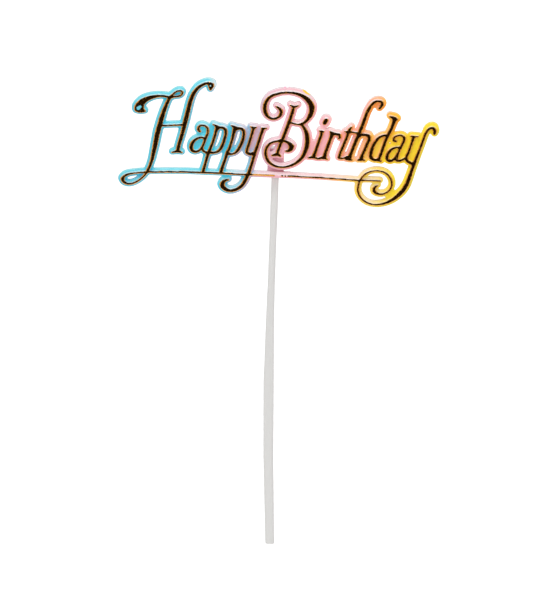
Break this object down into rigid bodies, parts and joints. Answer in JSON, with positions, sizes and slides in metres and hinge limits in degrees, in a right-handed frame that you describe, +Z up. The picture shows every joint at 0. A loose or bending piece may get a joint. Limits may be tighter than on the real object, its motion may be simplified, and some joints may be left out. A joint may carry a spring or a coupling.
{
  "type": "cake topper",
  "caption": "Script birthday greeting in moulded plastic with a sprayed rainbow fade and gold foil on its raised letters, pushed onto a white plastic stick that stands in a cake.",
  "frame": {"origin": "centre of the stick's flat tip, the end that goes into the cake", "axes": "+Z up the stick to the sign, +X along the words in reading order, -Y towards the reader"},
  "size_m": [0.12, 0.0081, 0.179],
  "materials": {
    "sprayed_plastic": "white moulded plastic, sprayed aqua, lilac, pink, orange and yellow from left to right",
    "gold_foil": "mirror gold hot-stamped film",
    "stick_plastic": "satin white, slightly translucent"
  },
  "bodies": {
    "stick": {"stick": "stick_plastic"},
    "sign": {"letter_plate": "sprayed_plastic", "foil_happy": "gold_foil", "foil_b": "gold_foil", "foil_dot": "gold_foil", "foil_ir": "gold_foil", "foil_th": "gold_foil", "foil_d": "gold_foil", "foil_ay": "gold_foil"}
  },
  "joints": [
    {"name": "sign_pull", "type": "slide", "parent": "stick", "child": "sign", "axis": [0, 0, 1], "range_m": [0, 0.0106]}
  ]
}
